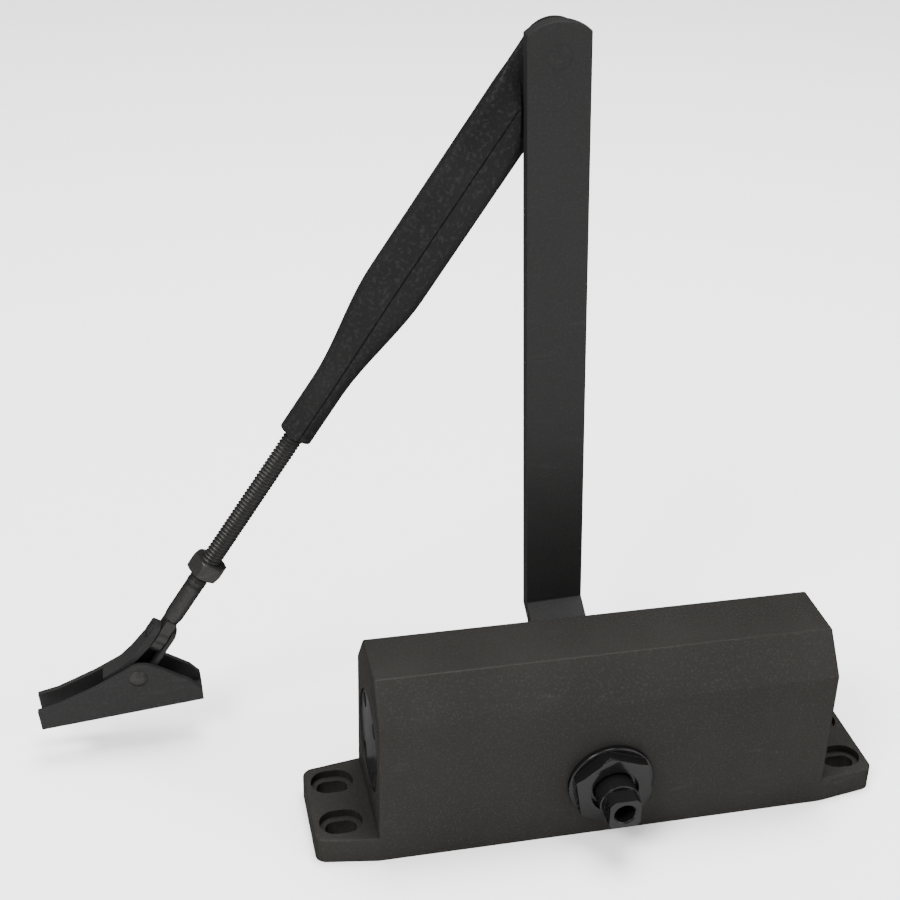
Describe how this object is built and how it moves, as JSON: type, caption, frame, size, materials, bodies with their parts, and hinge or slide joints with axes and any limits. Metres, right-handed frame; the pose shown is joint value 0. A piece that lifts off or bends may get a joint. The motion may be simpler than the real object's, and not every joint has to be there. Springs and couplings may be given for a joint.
{
  "type": "door closer",
  "caption": "Surface-mounted rack-and-pinion door closer: slope-shouldered body with fixing lugs, flat main arm, adjustable threaded forearm and hinged foot bracket.",
  "frame": {"origin": "centre of the body's mounting face and of its four-slot fixing pattern, under the pinion axis", "axes": "+X along the body towards the spring end, +Y along the pinion towards the arm side, +Z out of the mounting face"},
  "size_m": [0.2658, 0.0965, 0.2392],
  "materials": {
    "body_paint": "dark bronze textured paint on a cast body",
    "arm_paint": "satin near-black paint on pressed steel",
    "black_steel": "glossy black",
    "rod_steel": "blackened steel",
    "inner_steel": "oiled machined steel",
    "ring_rubber": "nitrile rubber"
  },
  "bodies": {
    "closer_body": {"housing": "body_paint", "left_end_plug": "black_steel", "right_end_plug": "black_steel", "left_plug_ring": "ring_rubber", "right_plug_ring": "ring_rubber", "front_gland_nut": "black_steel", "rear_gland_nut": "black_steel", "front_bearing": "inner_steel", "rear_bearing": "inner_steel", "front_shaft_seal": "ring_rubber", "rear_shaft_seal": "ring_rubber", "outer_spring": "inner_steel", "inner_spring": "inner_steel"},
    "piston": {"rack_piston": "inner_steel", "piston_seal": "ring_rubber", "check_valve_cage": "inner_steel", "check_valve_ball": "inner_steel"},
    "pinion": {"pinion_shaft": "black_steel", "main_arm": "arm_paint", "arm_washer": "black_steel", "arm_screw": "black_steel", "elbow_rivet": "arm_paint", "elbow_washer": "inner_steel"},
    "forearm": {"forearm_sleeve": "arm_paint"},
    "rod": {"threaded_rod": "rod_steel"},
    "nut": {"lock_nut": "rod_steel"},
    "link": {"yoke": "arm_paint", "yoke_pin": "black_steel"},
    "foot": {"foot_bracket": "arm_paint", "foot_rivet": "rod_steel"},
    "upper_screw": {"upper_speed_screw": "inner_steel", "upper_speed_ring": "ring_rubber"},
    "lower_screw": {"lower_speed_screw": "inner_steel", "lower_speed_ring": "ring_rubber"}
  },
  "joints": [
    {"name": "pinion_turn", "type": "hinge", "parent": "closer_body", "child": "pinion", "pos_m": [0, 0, 0.0204], "axis": [0, 1, 0], "range_deg": [0, 170], "stiffness_Nm_per_rad": 5, "springref_deg": -114.59},
    {"name": "piston_slide", "type": "slide", "parent": "closer_body", "child": "piston", "axis": [1, 0, 0], "range_m": [0, 0.0214], "deforming": ["outer_spring", "inner_spring"]},
    {"name": "elbow", "type": "hinge", "parent": "pinion", "child": "forearm", "pos_m": [-0.00912, 0.0537, 0.2292], "axis": [0, 1, 0], "range_deg": [-1, 143]},
    {"name": "rod_extend", "type": "slide", "parent": "forearm", "child": "rod", "axis": [-0.549, 0, -0.8358], "range_m": [-0.016, 0.025]},
    {"name": "nut_travel", "type": "slide", "parent": "rod", "child": "nut", "axis": [0.549, 0, 0.8358], "range_m": [-0.002, 0.051]},
    {"name": "yoke_tilt", "type": "hinge", "parent": "rod", "child": "link", "pos_m": [-0.13237, 0.0537, 0.04156], "axis": [0.8358, 0, -0.549], "range_deg": [-20, 20]},
    {"name": "foot_turn", "type": "hinge", "parent": "link", "child": "foot", "pos_m": [-0.14088, 0.0537, 0.02861], "axis": [0, 1, 0], "range_deg": [-35, 45]},
    {"name": "upper_turn", "type": "hinge", "parent": "closer_body", "child": "upper_screw", "pos_m": [-0.07, 0.008, 0.0411], "axis": [-1, 0, 0], "range_deg": [0, 720]},
    {"name": "lower_turn", "type": "hinge", "parent": "closer_body", "child": "lower_screw", "pos_m": [-0.07, -0.008, 0.0219], "axis": [-1, 0, 0], "range_deg": [0, 720]}
  ],
  "couplings": [
    {"joint": "piston_slide", "follows": "pinion_turn", "m_per_rad": 0.00715}
  ]
}
